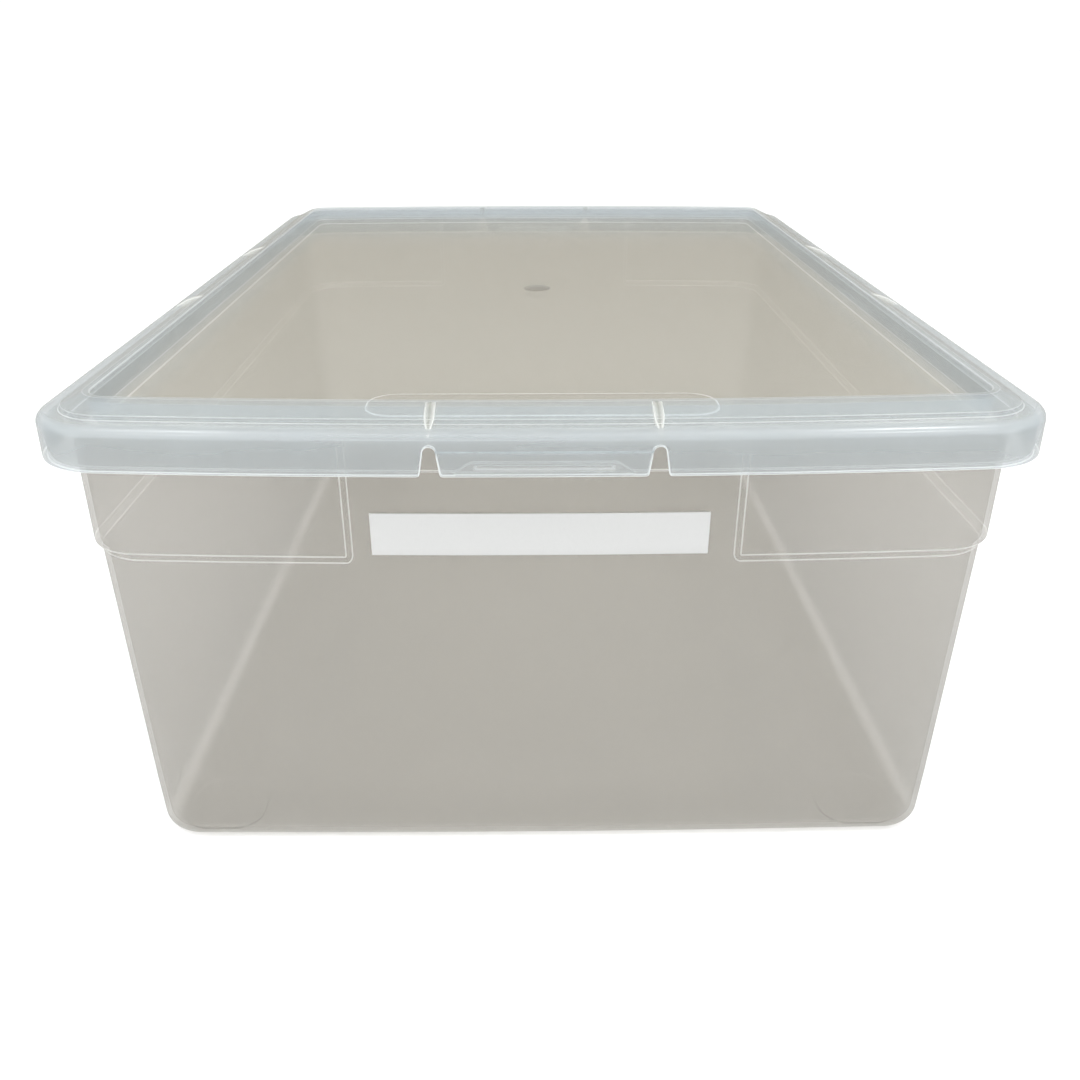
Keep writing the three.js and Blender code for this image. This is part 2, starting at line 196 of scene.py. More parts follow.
# ---------------------------------------------------------------- outlines

def bow(z):
    """How far a short end falls back at its full half width, at a height."""
    return BASE_BOW + (RIM_BOW - BASE_BOW) * z / CREST_Z


def is_end(side):
    return side % 2 == 0


def on_side(side, along, out, z):
    """Side 0 faces -Y and the others follow counter-clockwise."""
    cos, sin = ((1, 0), (0, 1), (-1, 0), (0, -1))[side]
    return Vector((along * cos + out * sin, along * sin - out * cos, z))


def side_point(side, along, inset, z):
    if is_end(side):
        return on_side(side, along, HALF_LENGTH - inset - bow(z) * (along / HALF_WIDTH) ** 2, z)
    return on_side(side, along, HALF_WIDTH - inset, z)


def corner_arc(inset, z, radius):
    """Centre of the corner arc, and how far the crowned end leans back where they meet."""
    x = HALF_WIDTH - inset - radius
    lean = math.atan(2 * bow(z) * x / HALF_WIDTH**2)
    meet_x = x + radius * math.sin(lean)
    meet_y = HALF_LENGTH - inset - bow(z) * (meet_x / HALF_WIDTH) ** 2
    return x, meet_y - radius * math.cos(lean), lean


class Column:
    """One place round the outline: a fixed distance along a side, a share of the run from the last
    fixed place to the corner, or a share of the corner's turn."""

    def __init__(self, side, along=None, run=None, turn=None):
        self.side = side
        self.along = along
        self.run = run
        self.turn = turn
        self.low = None

    def point(self, inset, z, radius, along=None):
        if along is None:
            along = self.along
        if along is not None:
            return side_point(self.side, along, inset, z)
        x, y, lean = corner_arc(inset, z, radius)
        end = is_end(self.side)
        if self.run is not None:
            sign, last, share = self.run
            meet = x + radius * math.sin(lean) if end else y
            return side_point(self.side, sign * (last + share * (meet - last)), inset, z)
        start = lean if end else 0.0
        stop = math.pi / 2 if end else math.pi / 2 - lean
        angle = start + (stop - start) * self.turn
        centre_along, centre_out = (x, y) if end else (y, x)
        out = centre_out + radius * math.cos(angle)
        return on_side(self.side, centre_along + radius * math.sin(angle), out, z)


def perimeter(stations, run_steps=5, corner_steps=18):
    """All columns, counter-clockwise from the -X end of side 0. stations holds the fixed places of an
    end and of a long side."""
    columns = []
    for side in range(4):
        places = stations[side % 2]
        last = places[-1]
        for step in range(run_steps, 0, -1):
            if step < run_steps:
                columns.append(Column(side, run=(-1, last, step / run_steps)))
        columns += [Column(side, along=place) for place in places]
        for step in range(1, run_steps):
            columns.append(Column(side, run=(1, last, step / run_steps)))
        for step in range(corner_steps + 1):
            columns.append(Column(side, turn=step / corner_steps))
    return columns


def spread(start, stop, step):
    """Even places from start to stop, about a step apart."""
    count = max(1, round((stop - start) / step))
    return [start + (stop - start) * i / count for i in range(count + 1)]


def mirrored(places):
    return sorted({round(p, 4) for p in places} | {round(-p, 4) for p in places})


# ---------------------------------------------------------------- sections

# Rounds below the tight limit get a painted highlight, strongest on those at or under the bright
# radius.
TIGHT_ROUND = 2.5
BRIGHT_RADIUS = 0.3
LONGEST_REACH = 0.46
SMALLEST_ROUND = 0.3


def rounded(points, steps=4):
    """A polyline of (inset, z, radius), with each inner corner rounded by its radius. Each result is
    (inset, z, edge), where edge weights a painted highlight: highest in the middle of a tight round
    and 0 on a flat."""
    result = [(points[0][0], points[0][1], 0.0)]
    for before, here, after in zip(points, points[1:], points[2:]):
        p = Vector(here[:2])
        to_before = Vector(before[:2]) - p
        to_after = Vector(after[:2]) - p
        turn = math.pi - to_before.angle(to_after)
        if turn < 1e-3 or here[2] <= 0:
            result.append((here[0], here[1], 0.0))
            continue
        longest = LONGEST_REACH * min(to_before.length, to_after.length)
        reach = min(here[2] * math.tan(turn / 2), longest)
        start = p + to_before.normalized() * reach
        stop = p + to_after.normalized() * reach
        centre_reach = reach / math.tan(turn / 2)
        centre = p + (to_before.normalized() + to_after.normalized()).normalized() * math.hypot(
            reach, centre_reach)
        from_angle = math.atan2(*(start - centre).yx)
        to_angle = math.atan2(*(stop - centre).yx)
        sweep = (to_angle - from_angle + math.pi) % (2 * math.pi) - math.pi
        for step in range(steps + 1):
            angle = from_angle + sweep * step / steps
            spot = centre + centre_reach * Vector((math.cos(angle), math.sin(angle)))
            bright = min(1.0, BRIGHT_RADIUS / here[2]) if here[2] < TIGHT_ROUND else 0.0
            result.append((spot.x, spot.y, bright * math.sin(math.pi * step / steps)))
    result.append((points[-1][0], points[-1][1], 0.0))
    return result


def offset_section(points, distance):
    """The other side of a wall: each stretch moves by distance to its right. Rounds grow or shrink
    with it."""
    lines = []
    for start, stop in zip(points, points[1:]):
        along = (Vector(stop[:2]) - Vector(start[:2])).normalized()
        shift = Vector((along.y, -along.x)) * distance
        lines.append((Vector(start[:2]) + shift, along))
    result = [(lines[0][0].x, lines[0][0].y, 0.0)]
    for i in range(1, len(lines)):
        (p, a), (q, b) = lines[i - 1], lines[i]
        cross = a.x * b.y - a.y * b.x
        travel = ((q - p).x * b.y - (q - p).y * b.x) / cross
        corner = p + a * travel
        radius = points[i][2] + (distance if cross > 0 else -distance)
        result.append((corner.x, corner.y, max(radius, SMALLEST_ROUND)))
    last = lines[-1][0] + lines[-1][1] * (Vector(points[-1][:2]) - Vector(points[-2][:2])).length
    result.append((last.x, last.y, 0.0))
    return result


# ---------------------------------------------------------------- mesh building

class Shell:
    """Collects vertices with an edge weight, which paints highlights above 0 and shade below it, and
    faces, then makes a mesh object.
    """

    def __init__(self):
        self.bm = bmesh.new()
        self.edge = self.bm.verts.layers.float.new("painted_edge_light_and_shade")
        self.milk = self.bm.verts.layers.float.new("milk")

    def vertex(self, point, edge=0.0, milk=0.0):
        vert = self.bm.verts.new(point)
        vert[self.edge] = edge
        vert[self.milk] = milk
        return vert

    def bridge(self, lower, upper, closed=True):
        count = len(lower)
        for i in range(count if closed else count - 1):
            j = (i + 1) % count
            self.bm.faces.new((lower[i], lower[j], upper[j], upper[i]))

    def skin(self, rings, closed=True):
        for lower, upper in zip(rings, rings[1:]):
            self.bridge(lower, upper, closed)

    def fill(self, ring, loops=()):
        """Fills the flat region inside ring, leaving out the regions inside loops."""
        verts = list(ring)
        edges = []
        start = 0
        for loop in (ring, *loops):
            if loop is not ring:
                verts += loop
            count = len(loop)
            edges += [(start + i, start + (i + 1) % count) for i in range(count)]
            start += count
        flat = [vert.co.xy for vert in verts]
        coords, _, faces, origin, _, _ = delaunay_2d_cdt(flat, edges, [], 1, 1e-6)
        holes = [[vert.co.xy for vert in loop] for loop in loops]
        for face in faces:
            centre = sum((coords[i] for i in face), Vector((0, 0))) / len(face)
            if any(inside(centre, hole) for hole in holes):
                continue
            self.bm.faces.new([verts[origin[i][0]] for i in face])

    def finish(self, name):
        bmesh.ops.remove_doubles(self.bm, verts=self.bm.verts, dist=WELD)
        bmesh.ops.dissolve_degenerate(self.bm, edges=self.bm.edges, dist=WELD)
        bmesh.ops.recalc_face_normals(self.bm, faces=self.bm.faces)
        for face in self.bm.faces:
            face.smooth = True
        bmesh.ops.transform(self.bm, matrix=Matrix.Scale(MM, 4), verts=self.bm.verts)
        mesh = bpy.data.meshes.new(name)
        self.bm.to_mesh(mesh)
        self.bm.free()
        piece = bpy.data.objects.new(name, mesh)
        bpy.context.scene.collection.objects.link(piece)
        weighted = piece.modifiers.new("weighted_normals", "WEIGHTED_NORMAL")
        weighted.weight = 80
        return piece


def inside(point, polygon):
    """Even-odd test."""
    odd = False
    for a, b in zip(polygon, polygon[1:] + polygon[:1]):
        if (a.y > point.y) != (b.y > point.y):
            if point.x < a.x + (point.y - a.y) * (b.x - a.x) / (b.y - a.y):
                odd = not odd
    return odd


def rounded_loop(centre_x, centre_y, width, depth, radius, steps=8):
    """Corner points of a rounded rectangle, counter-clockwise, as (x, y)."""
    points = []
    for quarter in range(4):
        sign_x = 1 if quarter in (0, 3) else -1
        sign_y = 1 if quarter in (0, 1) else -1
        for step in range(steps + 1):
            angle = (quarter + step / steps) * math.pi / 2
            points.append((
                centre_x + sign_x * (width / 2 - radius) + radius * math.cos(angle),
                centre_y + sign_y * (depth / 2 - radius) + radius * math.sin(angle),
            ))
    return points


# A pad's edge, from its foot to its top: share of the lip, share of the height, weight of the painted
# edge highlight.
PAD_SECTION = ((0.0, 0.0, 0.0), (0.0, 0.5, 1.0), (0.3, 0.85, 0.7), (1.0, 1.0, 0.0))


def pad(shell, centre, size, radius, z, height, lip, light=1.0, top_light=0.0):
    """A raised or sunk pad with softly rounded edges on a flat face at z. Returns its outer loop, to
    leave out of that face."""
    width, depth = size
    rings = []
    for shrink, rise, edge in PAD_SECTION:
        inset = shrink * lip
        loop = rounded_loop(*centre, width - 2 * inset, depth - 2 * inset, radius - inset)
        # light weights a painted highlight on the edge, and painted shade where it is below 0;
        # top_light does the same for the top.
        shine = edge * light if shrink < 1.0 else top_light
        rings.append([shell.vertex((x, y, z + rise * height), shine) for x, y in loop])
    shell.skin(rings)
    shell.fill(rings[-1])
    return rings[0]


# ---------------------------------------------------------------- lid

def lid_outer():
    """The lid's outer skin from the skirt to the panel: (inset, height, radius of the round)."""
    return [
        (0.0, SKIRT_BOTTOM_Z, 0.0),
        (0.0, OUTER_FLAT_Z, OUTER_ROUND),
        (5.9, OUTER_FLAT_Z, 0.4),
        (6.5, OUTER_FLAT_Z + 1.2, 0.5),
        (9.2, CREST_Z - 1.5, 1.5),
        (12.4, CREST_Z, 0.6),
        (14.2, CREST_Z, 0.5),
        (15.1, PANEL_Z + 2.2, 1.2),
        (16.4, PANEL_Z, 0.6),
        (19.0, PANEL_Z, 0.0),
    ]


def notch_outline(steps=6):
    """The notch from its left foot to its right foot, about its centre and above the skirt's
    bottom: (x, z, normal x, normal z), with the normal pointing into the plastic."""
    slope = Vector((NOTCH_FOOT_HALF - NOTCH_TOP_HALF, -NOTCH_SPRING)).normalized()
    side_normal = Vector((-slope.y, slope.x))
    right = []
    for step in range(2 * steps + 1):
        angle = math.pi / 2 * (1 - step / (2 * steps))
        direction = Vector((math.cos(angle), math.sin(angle)))
        right.append((NOTCH_TOP_HALF * direction.x, NOTCH_SPRING + NOTCH_TOP_HALF * direction.y,
                      direction.x, direction.y))
    top = Vector((NOTCH_TOP_HALF, NOTCH_SPRING))
    foot = Vector((NOTCH_FOOT_HALF, 0.0))
    turn = math.pi / 2 - math.atan2(side_normal.y, side_normal.x)
    reach = NOTCH_FOOT_ROUND * math.tan(turn / 2)
    for step in range(1, steps + 1):
        spot = top.lerp(foot - slope * reach, step / steps)
        right.append((spot.x, spot.y, side_normal.x, side_normal.y))
    centre = foot + Vector((reach, NOTCH_FOOT_ROUND))
    start = math.atan2(side_normal.y, side_normal.x)
    for step in range(1, steps + 1):
        angle = start + (math.pi / 2 - start) * step / steps
        direction = Vector((math.cos(angle), math.sin(angle)))
        spot = centre - direction * NOTCH_FOOT_ROUND
        right.append((spot.x, spot.y, direction.x, direction.y))
    left = [(-x, z, -nx, nz) for x, z, nx, nz in reversed(right[1:])]
    return left + right


def skirt_columns(side):
    """The notch's low points on one half of a side, for the tab and for the lid: along, height
    above the skirt's bottom, normal and edge round."""
    centre = NOTCH_HALF_SPACING[side % 2]
    tab_part = []
    lid_part = []
    for x, z, nx, nz in notch_outline():
        place = (centre + x, z, nx, nz, EDGE_ROUND)
        if x < 0 and z < NOTCH_SPRING:
            tab_part.append(place)
        else:
            lid_part.append(place)
    return tab_part, lid_part


def level_place(along, height, edge_round):
    """A place where the bottom edge is level: (along at the top, low point)."""
    return along, (along, height, 0.0, 1.0, edge_round)


def with_mirror(right):
    """Both halves of a side, from the places of its right half."""
    left = [(-top, (-low[0], low[1], -low[2], low[3], low[4])) for top, low in reversed(right[1:])]
    return left + right


def skirt_face(depth, round_radius):
    """Points round the skirt's bottom edge from its outer face to its inner face: (inset, height above
    the low point, edge), where edge weights a painted highlight along the round."""
    r = round_radius
    points = []
    steps = 4
    for step in range(steps + 1):
        angle = math.pi / 2 * step / steps
        points.append((r * (1 - math.cos(angle)), r * (1 - math.sin(angle)),
                       math.sin(math.pi * step / steps)))
    return points + [(depth - inset, rise, edge) for inset, rise, edge in reversed(points)]


def skirt_milk(share):
    """The skirt is milkier than the ridge, most of all near its top."""
    return SKIRT_MILK + SKIRT_MILK_RISE * share


def lid_stations(side):
    """Fixed places along a side for the lid: (along at the top, low point)."""
    lid_part = skirt_columns(side)[1]
    notch_start = NOTCH_HALF_SPACING[side % 2] - NOTCH_TOP_HALF - 0.02
    right = [level_place(x, HINGE_HEIGHT, 0.0) for x in spread(0, notch_start, step=4)]
    right += [(low[0], low) for low in lid_part]
    far = END_STRAIGHT if is_end(side) else SIDE_STRAIGHT
    beyond = spread(lid_part[-1][0] + NEXT_COLUMN, far, step=5)
    right += [level_place(x, 0.0, EDGE_ROUND) for x in beyond]
    return with_mirror(right)


def build_lid():
    shell = Shell()
    stations = [lid_stations(0), lid_stations(1)]
    columns = perimeter([[top for top, _ in places] for places in stations])
    for column in columns:
        if column.along is not None:
            places = stations[column.side % 2]
            column.low = next(low for top, low in places if top == column.along)

    def radius_at(inset):
        return max(LID_CORNER_RADIUS - inset, SMALLEST_CORNER)

    def ring(inset, z, edge=0.0):
        # Milkiest on the outer rounding, 1 on the ridge and 0 on the panel.
        milk = skirt_milk(1.0) - 1.2 * soft_step(inset, 2, 6) - soft_step(inset, 14.3, 15.5)
        return [shell.vertex(c.point(inset, z, radius_at(inset)), edge, milk) for c in columns]

    def skirt_ring(inset, rise, edge, share):
        """A ring on the skirt: rise above the low point, then a share of the way to the top."""
        verts = []
        for c in columns:
            if c.low is None:
                z = SKIRT_BOTTOM_Z + rise
                z += (SKIRT_TOP_Z - z) * share
                spot = c.point(inset, z, radius_at(inset))
                verts.append(shell.vertex(spot, edge, skirt_milk(share)))
                continue
            along, low_z, nx, nz, round_radius = c.low
            scale = round_radius / EDGE_ROUND
            x = along + nx * rise * scale
            z = SKIRT_BOTTOM_Z + low_z + nz * rise * scale
            x += (c.along - x) * share
            z += (SKIRT_TOP_Z - z) * share
            spot = c.point(inset, z, radius_at(inset), along=x)
            verts.append(shell.vertex(spot, edge * scale, skirt_milk(share)))
        return verts

    outer = lid_outer()
    inner = offset_section(outer, WALL)
    rings = []
    for inset, z, edge in reversed(rounded(outer, 5)):
        if z > SKIRT_TOP_Z + 1e-6 or inset > 1e-6:
            rings.append(ring(inset, z, edge))
    rings += [skirt_ring(0.0, EDGE_ROUND, 0.0, share) for share in (1.0, *reversed(SKIRT_SHARES))]
    rings += [skirt_ring(inset, rise, edge, 0.0) for inset, rise, edge in skirt_face(WALL, EDGE_ROUND)]
    rings += [skirt_ring(WALL, EDGE_ROUND, 0.0, share) for share in (*SKIRT_SHARES, 1.0)]
    for inset, z, edge in rounded(inner, 5):
        if z > SKIRT_TOP_Z + 1e-6 or inset > WALL + 1e-6:
            rings.append(ring(inset, z, INNER_EDGE_SHARE * edge))
    shell.skin(rings)

    plate_y = -HALF_LENGTH + PLATE_BACK_INSET - PLATE_SIZE[1] / 2
    plate = pad(shell, (0, plate_y), PLATE_SIZE, PLATE_CORNER, PANEL_Z, PLATE_HEIGHT, PLATE_LIP,
                light=PLATE_LIGHT)
    dimple = pad(shell, (0, 0), DIMPLE_SIZE, DIMPLE_CORNER, PANEL_Z, -DIMPLE_DEPTH, DIMPLE_LIP,
                 light=DIMPLE_LIP_SHADE, top_light=DIMPLE_SHADE)
    shell.fill(rings[0], (plate, dimple))
    shell.fill(rings[-1])
    return shell.finish("lid_shell")


# ---------------------------------------------------------------- latch tabs

def soft_step(value, start, stop):
    """0 before start and 1 after stop, with a smooth rise between them."""
    share = min(max((value - start) / (stop - start), 0.0), 1.0)
    return share * share * (3 - 2 * share)


def bead_reach(along, rise):
    """How far the tab's inner face stands in at its snap bead and its thick pull edge."""
    snap = soft_step(SNAP_HALF - abs(along), 0, SNAP_FADE)
    snap *= soft_step(rise, *SNAP_START) * (1 - soft_step(rise, *SNAP_STOP))
    pull = soft_step(PULL_HALF - abs(along), 0, PULL_FADE) * (1 - soft_step(rise, *PULL_STOP))
    return SNAP_REACH * snap + PULL_REACH * pull


def bead_slope(along, rise):
    """How steeply the beads stand off the face, which sets the painted highlight on them."""
    step = 0.1
    across = bead_reach(along + step, rise) - bead_reach(along - step, rise)
    up = bead_reach(along, rise + step) - bead_reach(along, rise - step)
    return min(1.0, math.hypot(across, up) / (2 * step))


def build_tab(name, side):
    """A latch tab: the stretch of skirt between two notches, below the hinge."""
    shell = Shell()
    # The notch's low points run from the foot upwards.
    tab_part = skirt_columns(side)[0]
    places = spread(0, tab_part[0][0] - NEXT_COLUMN, step=1.2)
    for bead_end in (SNAP_HALF, PULL_HALF):
        places += spread(bead_end - SNAP_FADE, bead_end, step=0.2)
    right = [level_place(x, 0.0, EDGE_ROUND) for x in sorted(set(places))]
    right += [(low[0], low) for low in tab_part if low[1] < HINGE_HEIGHT]
    last = tab_part[-1]
    right.append((last[0], (last[0], HINGE_HEIGHT, last[2], last[3], 0.0)))
    columns = with_mirror(right)

    def row(inset, rise, edge, share, beads=False):
        verts = []
        for top_x, (along, low_z, nx, nz, round_radius) in columns:
            scale = round_radius / EDGE_ROUND
            x = along + nx * rise * scale
            height = low_z + nz * rise * scale
            x += (top_x - x) * share
            height += (HINGE_HEIGHT - height) * share
            light = edge * scale
            depth = inset
            if beads:
                depth += bead_reach(x, height)
                # A painted highlight where the beads stand off the face.
                light = max(light, BEAD_LIGHT * bead_slope(x, height))
            spot = side_point(side, x, depth, SKIRT_BOTTOM_Z + height)
            milk = skirt_milk(share * HINGE_HEIGHT / SKIRT_HEIGHT)
            verts.append(shell.vertex(spot, light, milk))
        return verts

    fine = [step / TAB_INNER_ROWS for step in range(1, TAB_INNER_ROWS + 1)]
    rows = [row(0.0, EDGE_ROUND, 0.0, share) for share in (1.0, *reversed(SKIRT_SHARES))]
    face = skirt_face(WALL, EDGE_ROUND)
    for i, (inset, rise, edge) in enumerate(face):
        rows.append(row(inset, rise, edge, 0.0, beads=i >= len(face) // 2))
    rows += [row(WALL, EDGE_ROUND, 0.0, share, beads=True) for share in fine]
    rows.append(rows[0])
    shell.skin(rows, closed=False)
    return shell.finish(name)


# ---------------------------------------------------------------- buttresses

def gusset_outline(half, top, bottom):
    """A cross section from the left foot over the top to the right foot: (x, height, edge), where edge
    weights a painted highlight on the top's corners.
    """
    r = min(GUSSET_ROUND, 0.45 * half)
    cut = 0.3 * r
    right = [(half - r, top, 0.6), (half - cut, top - cut, 1.0), (half, top - r, 0.6)]
    right.append((half, bottom, 0.0))
    left = [(-x, z, edge) for x, z, edge in reversed(right)]
    return left + [(0.0, top, 0.0)] + right


def build_gussets():
    """The eight buttresses above the notches, each narrowing to a point on the outer rounding."""
    shell = Shell()
    for side in range(4):
        for sign in (-1, 1):
            centre = sign * NOTCH_HALF_SPACING[side % 2]
            rings = []
            for inset, half, top, bottom in GUSSET_STATIONS:
                outline = gusset_outline(half, top, bottom)
                rings.append([shell.vertex(side_point(side, centre + x, inset, z), edge)
                              for x, z, edge in outline])
            shell.skin(rings)
            shell.bm.faces.new(list(reversed(rings[0])))
            shell.bm.faces.new(rings[-1])
    return shell.finish("lid_gussets")


# ---------------------------------------------------------------- tub

def tub_radius(z):
    return BASE_CORNER_RADIUS + (RIM_CORNER_RADIUS - BASE_CORNER_RADIUS) * z / RIM_TOP_Z


def ramp(value, soft=0.12):
    """0 below 0 and 1 above 1, with softened corners."""
    def soft_floor(v):
        if v <= -soft:
            return 0.0
        if v >= soft:
            return v
        return (v + soft) ** 2 / (4 * soft)
    return 1 - soft_floor(1 - soft_floor(value))


def band_reach(up, out):
    """Distance into the band from its outline, which turns a rounded corner below the end panel."""
    corner = 1.2
    if min(up, out) > corner:
        return min(up, out)
    return corner - math.hypot(max(corner - up, 0.0), max(corner - out, 0.0))


def band_bulge(side, along, z):
    """How far the upper band stands out from the line of the lower wall, as a share."""
    up = (z - SHOULDER_Z) / SHOULDER_RISE
    if not is_end(side) or along is None:
        return ramp(up)
    out = (abs(along) - END_PANEL_HALF) / END_PANEL_CHAMFER
    share = ramp(band_reach(up, out))
    over = ramp((z - PANEL_TOP_Z) / (UNDER_RIM_Z - PANEL_TOP_Z))
    return max(share, over)


def crease(value, width=0.16):
    """1 at the two ends of a slope that runs from 0 to 1, falling to 0 at width away."""
    return max(0.0, 1 - min(abs(value), abs(value - 1)) / width)


def band_edge(side, along, z):
    """Where the bends at the band's outline get a painted highlight."""
    up = (z - SHOULDER_Z) / SHOULDER_RISE
    if not is_end(side) or along is None:
        return crease(up)
    out = (abs(along) - END_PANEL_HALF) / END_PANEL_CHAMFER
    return crease(band_reach(up, out)) * (1 - ramp((z - PANEL_TOP_Z) / (UNDER_RIM_Z - PANEL_TOP_Z)))


def wall_inset(side, along, z):
    """The outer face of the tub's wall between the base round and the rim."""
    if z <= SHOULDER_Z:
        share = (z - BASE_Z) / (SHOULDER_Z - BASE_Z)
        straight = BASE_INSET + (LOWER_WALL_INSET - BASE_INSET) * share
        step = LOWER_WALL_INSET - BAND_INSET
        return straight - step * band_bulge(side, along, z)
    share = (z - SHOULDER_Z) / (UNDER_RIM_Z - SHOULDER_Z)
    line = LOWER_WALL_INSET + (RIM_WALL_INSET + END_PANEL_DEPTH - LOWER_WALL_INSET) * share
    return line - END_PANEL_DEPTH * band_bulge(side, along, z)


def tub_stations():
    """Fixed places along an end and along a long side, closest together at the end panel's edge."""
    thumb_end = THUMB_HALF + THUMB_RAMP
    thumb = spread(0, THUMB_HALF, step=6) + spread(THUMB_HALF, thumb_end, step=1)
    end = thumb + spread(thumb_end, CHAMFER_START, step=6)
    end += spread(CHAMFER_START, CHAMFER_STOP, step=0.15)
    end += spread(CHAMFER_STOP, END_STRAIGHT, step=5)
    side = thumb + spread(thumb_end, SIDE_STRAIGHT, step=8)
    return [mirrored(end), mirrored(side)]


def thumb_raise(along):
    if along is None:
        return 0.0
    share = (abs(along) - THUMB_HALF) / THUMB_RAMP
    return THUMB_RAISE * (1 - soft_step(share, 0, 1))


def build_tub():
    shell = Shell()
    columns = perimeter(tub_stations())

    def ring(level, edge=0.0, raised=False):
        inset, z, radius = level
        verts = []
        for c in columns:
            lift = thumb_raise(c.along) if raised else 0.0
            verts.append(shell.vertex(c.point(inset, z + lift, radius), edge))
        return verts

    def wall_ring(z, extra):
        """A ring on the wall's outer face, or inside it by extra."""
        verts = []
        for c in columns:
            inset = wall_inset(c.side, c.along, z) + extra
            edge = band_edge(c.side, c.along, z) if extra == 0 else 0.0
            verts.append(shell.vertex(c.point(inset, z, tub_radius(z) - extra), edge))
        return verts

    def base_arc(centre_inset, centre_z, radius, steps=8):
        """Levels of the quarter round between the flat base and the wall."""
        levels = []
        for step in range(steps + 1):
            angle = math.pi / 2 * step / steps
            inset = centre_inset - radius * math.sin(angle)
            corner = BASE_CORNER_RADIUS - (inset - BASE_INSET)
            levels.append((inset, centre_z - radius * math.cos(angle), corner))
        return levels

    shoulder = spread(SHOULDER_Z - 0.6, SHOULDER_Z + 5.4, step=0.2)
    wall_heights = [*LOWER_WALL_HEIGHTS, *shoulder, *BAND_HEIGHTS]
    wall_heights += [PANEL_TOP_Z - 0.5, *spread(PANEL_TOP_Z, UNDER_RIM_Z - 0.5, step=0.6)]

    round_z = BASE_Z + BASE_ROUND
    outer_round = base_arc(BASE_INSET + BASE_ROUND, round_z, BASE_ROUND)

    # A painted highlight along the base round and the floor round.
    def round_light(step):
        return BASE_ROUND_LIGHT * math.sin(math.pi * step / (len(outer_round) - 1))

    rings = [ring(level, round_light(i)) for i, level in enumerate(outer_round)][1:]
    rings += [wall_ring(z, 0.0) for z in wall_heights]
    # The rolled rim from the outer wall round to the inner one: inset, height, radius of the round.
    rim = [
        (RIM_WALL_INSET, UNDER_RIM_Z - 0.5, 0.0),
        (RIM_WALL_INSET, UNDER_RIM_Z, 0.3),
        (LIP_INNER, UNDER_RIM_Z, 0.5),
        (LIP_INNER, LIP_BOTTOM_Z, 0.35),
        (LIP_INSET, LIP_BOTTOM_Z, 0.35),
        (LIP_INSET, RIM_TOP_Z, 2.0),
        (RIM_WALL_INSET + WALL, RIM_TOP_Z, 0.6),
        (RIM_WALL_INSET + WALL, RIM_TOP_Z - 1.5, 0.0),
    ]

    def rim_corner(inset):
        if inset >= RIM_WALL_INSET:
            return RIM_CORNER_RADIUS - (inset - RIM_WALL_INSET)
        return LID_CORNER_RADIUS - inset

    for inset, z, edge in rounded(rim, 4)[1:]:
        raised = z < LIP_BOTTOM_Z + 0.5 and inset < LIP_INNER + 0.1
        rings.append(ring((inset, z, rim_corner(inset)), edge, raised))
    rings += [wall_ring(z, WALL) for z in reversed(wall_heights)]
    floor_round = BASE_ROUND - WALL
    floor = base_arc(BASE_INSET + BASE_ROUND, round_z, floor_round)
    rings += [ring(level, round_light(i)) for i, level in enumerate(floor)][::-1]
    shell.skin(rings)

    shell.fill(rings[-1])
    feet = []
    foot_x = HALF_WIDTH - FOOT_SIDE_INSET - FOOT_SIZE[0] / 2
    foot_y = HALF_LENGTH - FOOT_END_INSET - FOOT_SIZE[1] / 2
    for sign_x in (-1, 1):
        for sign_y in (-1, 1):
            centre = (sign_x * foot_x, sign_y * foot_y)
            feet.append(pad(shell, centre, FOOT_SIZE, FOOT_CORNER, BASE_Z, -BASE_Z, FOOT_LIP,
                            light=FOOT_LIGHT))
    shell.fill(rings[0], feet)
    return shell.finish("tub_shell")


# ---------------------------------------------------------------- label

def build_label():
    """A paper strip that follows the end panel's slight crown and lean."""
    shell = Shell()
    half_w = (LABEL_HIGH.x - LABEL_LOW.x) / 2
    centre_x = (LABEL_HIGH.x + LABEL_LOW.x) / 2
    low, high = LABEL_LOW.z, LABEL_HIGH.z
    columns, rows = 24, 6
    fronts, backs = [], []
    for row in range(rows + 1):
        z = low + (high - low) * row / rows
        front, back = [], []
        for column in range(columns + 1):
            x = centre_x - half_w + 2 * half_w * column / columns
            face = wall_inset(0, 0.0, z)
            front.append(shell.vertex(side_point(0, x, face - LABEL_FRONT, z)))
            back.append(shell.vertex(side_point(0, x, face - LABEL_BACK, z)))
        fronts.append(front)
        backs.append(back)
    shell.skin(fronts, closed=False)
    shell.skin(backs, closed=False)
    for row in range(rows):
        for column in (0, columns):
            shell.bm.faces.new((fronts[row][column], fronts[row + 1][column],
                                backs[row + 1][column], backs[row][column]))
    for column in range(columns):
        for row in (0, rows):
            shell.bm.faces.new((fronts[row][column], fronts[row][column + 1],
                                backs[row][column + 1], backs[row][column]))
    return shell.finish("label_paper_strip")


# ---------------------------------------------------------------- materials

